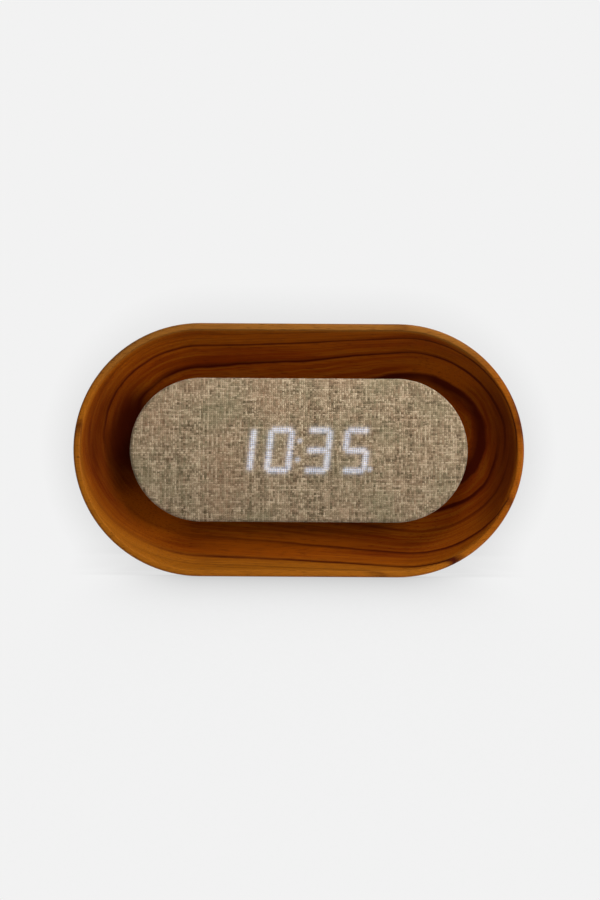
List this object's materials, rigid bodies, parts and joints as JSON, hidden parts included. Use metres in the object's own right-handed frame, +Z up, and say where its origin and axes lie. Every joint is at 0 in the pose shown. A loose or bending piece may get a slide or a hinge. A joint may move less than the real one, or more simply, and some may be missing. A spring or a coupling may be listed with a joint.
{
  "type": "wooden digital clock",
  "caption": "Stadium-shaped solid wood clock, scooped like a bowl round a cloth-covered display pod whose digits glow through the weave, with buttons and battery bay behind",
  "frame": {"origin": "middle of the flat underside, halfway between front and back", "axes": "+Z up, front faces -Y, +X to the right seen from the front"},
  "size_m": [0.2, 0.052, 0.1124],
  "materials": {
    "oiled_wood": "oiled, satin",
    "linen_cloth": "woven, matt",
    "black_plastic": "moulded, fine matt",
    "dark_plastic": "moulded, spark-eroded matt",
    "frosted_film": "frosted",
    "lit_lens": "clear, lit from behind",
    "led_package": "cast",
    "board_green": "lacquered",
    "chip_black": "moulded",
    "ceramic": "sintered",
    "ribbon_white": "film",
    "socket_ivory": "moulded",
    "steel": "zinc plated",
    "nickel": "nickel plated",
    "cell_jacket": "film wrapped",
    "wire_sleeve": "extruded"
  },
  "bodies": {
    "clock_body": {"wood_bowl": "oiled_wood", "grille_cloth": "linen_cloth", "front_frame": "black_plastic", "diffuser_film": "frosted_film", "light_box": "black_plastic", "segment_lenses": "lit_lens", "display_board": "board_green", "display_leds": "led_package", "display_screws": "steel", "display_driver": "chip_black", "ribbon_sockets": "socket_ivory", "ribbon_cable": "ribbon_white", "control_board": "board_green", "clock_chip": "chip_black", "clock_crystal": "nickel", "board_parts": "ceramic", "buzzer": "chip_black", "switch_bodies": "chip_black", "usb_shell": "nickel", "usb_tongue": "black_plastic", "board_screws": "steel", "rear_cover": "dark_plastic", "battery_cell_1": "cell_jacket", "battery_cell_2": "cell_jacket", "battery_cell_3": "cell_jacket", "contact_plates": "nickel", "contact_springs": "nickel", "battery_leads": "wire_sleeve", "cover_screws": "steel"},
    "button_up_body": {"button_up": "dark_plastic", "plunger_up": "black_plastic"},
    "button_set_body": {"button_set": "dark_plastic", "plunger_set": "black_plastic"},
    "button_down_body": {"button_down": "dark_plastic", "plunger_down": "black_plastic"},
    "battery_door_body": {"battery_door": "dark_plastic"}
  },
  "joints": [
    {"name": "press_up", "type": "slide", "parent": "clock_body", "child": "button_up_body", "axis": [0, -1, 0], "range_m": [0, 0.0005], "stiffness_N_per_m": 3000},
    {"name": "press_set", "type": "slide", "parent": "clock_body", "child": "button_set_body", "axis": [0, -1, 0], "range_m": [0, 0.0005], "stiffness_N_per_m": 3000},
    {"name": "press_down", "type": "slide", "parent": "clock_body", "child": "button_down_body", "axis": [0, -1, 0], "range_m": [0, 0.0005], "stiffness_N_per_m": 3000},
    {"name": "door_hinge", "type": "hinge", "parent": "clock_body", "child": "battery_door_body", "pos_m": [-0.0483, 0.0233, 0.0562], "axis": [0, 0, 1], "range_deg": [0, 90]}
  ]
}
